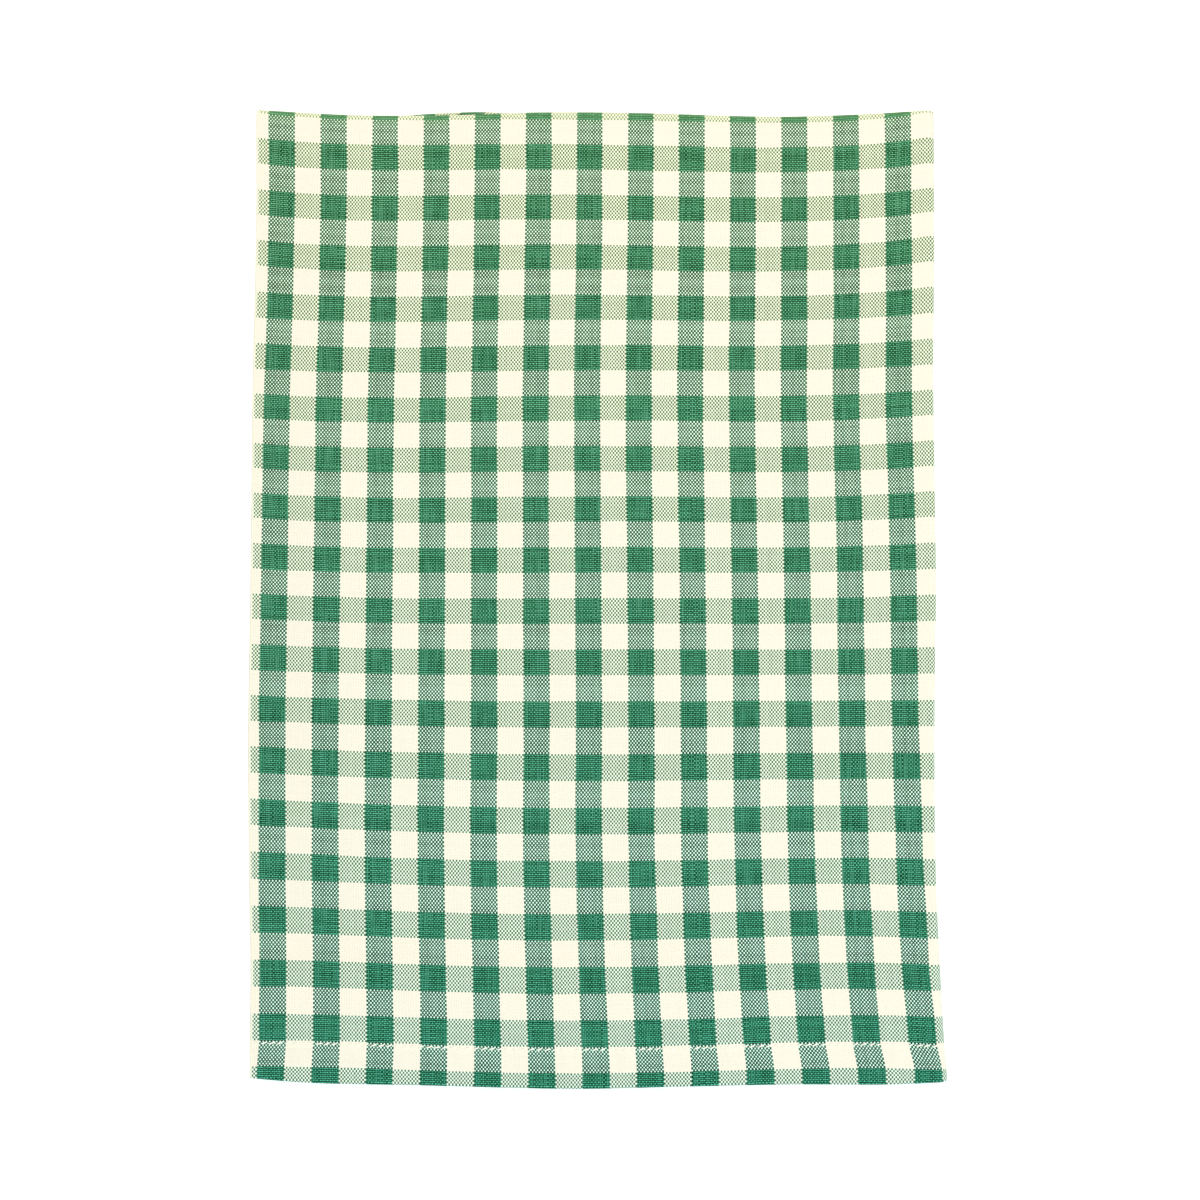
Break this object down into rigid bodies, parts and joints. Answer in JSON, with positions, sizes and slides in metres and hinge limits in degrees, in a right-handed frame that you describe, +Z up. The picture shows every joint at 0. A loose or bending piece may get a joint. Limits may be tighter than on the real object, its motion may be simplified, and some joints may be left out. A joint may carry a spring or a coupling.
{
  "type": "tea towel",
  "caption": "Cotton gingham tea towel folded in quarters, lying flat on its back leaf, with woven selvedges and turned, stitched hems.",
  "frame": {"origin": "on the surface the towel lies on, under the middle of its outline", "axes": "+X to the lengthwise fold at the right, +Y to the top folds, +Z up from the surface"},
  "size_m": [0.2495, 0.355, 0.0105],
  "materials": {
    "gingham_cotton": "matt plain-weave cotton in green and cream checks"
  },
  "bodies": {
    "root": {"towel_cloth": "gingham_cotton"}
  },
  "joints": []
}
